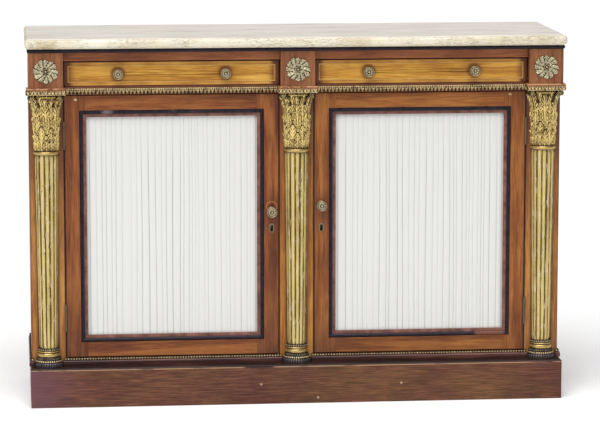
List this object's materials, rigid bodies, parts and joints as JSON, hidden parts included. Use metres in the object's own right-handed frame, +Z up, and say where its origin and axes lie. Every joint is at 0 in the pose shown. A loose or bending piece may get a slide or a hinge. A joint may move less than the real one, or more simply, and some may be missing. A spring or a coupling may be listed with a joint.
{
  "type": "chiffonier",
  "caption": "Low side cabinet with a marble slab, frieze drawers, reeded half columns with leafy capitals and doors with pleated silk panels on a plinth.",
  "frame": {"origin": "on the floor, under the middle of the marble slab", "axes": "+Z up, -Y out of the front, +X to the right seen from the front"},
  "size_m": [1.336, 0.41, 0.914],
  "materials": {
    "marble": "honed cream white marble, pitted and lightly stained",
    "ebonised": "ebonised wood, worn satin polish",
    "mahogany": "orange brown veneer, french polished",
    "plinth_wood": "dark reddish brown wood with a straight grain, waxed",
    "satinwood": "golden veneer, french polished",
    "deal": "plain softwood, unpolished",
    "giltwood": "carved and gilded wood, rubbed, dark in the hollows",
    "gilt_brass": "gilt brass, dulled",
    "bronze": "cast brass worn to a pewter tone",
    "hinge_brass": "dull drawn brass",
    "lock_steel": "aged steel",
    "silk": "off white pleated silk"
  },
  "bodies": {
    "carcase": {"marble_top": "marble", "eaves_moulding": "ebonised", "sub_top": "deal", "bottom_board": "deal", "back_boards": "deal", "front_rails": "mahogany", "side_left": "mahogany", "side_right": "mahogany", "central_partition": "deal", "dustboards": "deal", "drawer_guides": "deal", "drawer_stops": "deal", "door_stops": "deal", "shelves": "deal", "shelf_cleats": "deal", "plinth_boards": "plinth_wood", "plinth_cap": "plinth_wood", "base_moulding": "plinth_wood", "base_bead": "gilt_brass", "carcase_hinge_leaves": "hinge_brass", "pilaster_left": "satinwood", "pilaster_right": "satinwood", "pilaster_centre": "satinwood", "frieze_blocks": "plinth_wood", "rosettes": "bronze", "frieze_moulding": "giltwood", "column_bases": "gilt_brass", "column_feet": "ebonised", "column_left": "giltwood", "column_centre": "giltwood", "column_right": "giltwood", "capitals": "giltwood"},
    "left_door": {"left_door_stiles": "mahogany", "left_door_rails": "mahogany", "left_door_moulding": "ebonised", "left_silk": "silk", "left_door_panel": "deal", "left_door_knob": "bronze", "left_escutcheon": "gilt_brass", "left_lock_case": "lock_steel", "left_hinge_leaves": "hinge_brass"},
    "left_bolt": {"left_lock_bolt": "lock_steel"},
    "left_drawer": {"left_drawer_front": "satinwood", "left_drawer_box": "deal", "left_drawer_knobs": "bronze"},
    "right_door": {"right_door_stiles": "mahogany", "right_door_rails": "mahogany", "right_door_moulding": "ebonised", "right_silk": "silk", "right_door_panel": "deal", "right_door_knob": "bronze", "right_escutcheon": "gilt_brass", "right_lock_case": "lock_steel", "right_hinge_leaves": "hinge_brass"},
    "right_bolt": {"right_lock_bolt": "lock_steel"},
    "right_drawer": {"right_drawer_front": "satinwood", "right_drawer_box": "deal", "right_drawer_knobs": "bronze"}
  },
  "joints": [
    {"name": "left_door_hinge", "type": "hinge", "parent": "carcase", "child": "left_door", "pos_m": [-0.57425, -0.1483, 0.444], "axis": [0, 0, -1], "range_deg": [0, 90]},
    {"name": "left_drawer_slide", "type": "slide", "parent": "carcase", "child": "left_drawer", "axis": [0, -1, 0], "range_m": [0, 0.22]},
    {"name": "left_bolt_slide", "type": "slide", "parent": "left_door", "child": "left_bolt", "axis": [1, 0, 0], "range_m": [0, 0.008]},
    {"name": "right_door_hinge", "type": "hinge", "parent": "carcase", "child": "right_door", "pos_m": [0.57425, -0.1483, 0.444], "axis": [0, 0, 1], "range_deg": [0, 90]},
    {"name": "right_drawer_slide", "type": "slide", "parent": "carcase", "child": "right_drawer", "axis": [0, -1, 0], "range_m": [0, 0.22]},
    {"name": "right_bolt_slide", "type": "slide", "parent": "right_door", "child": "right_bolt", "axis": [-1, 0, 0], "range_m": [0, 0.008]}
  ]
}
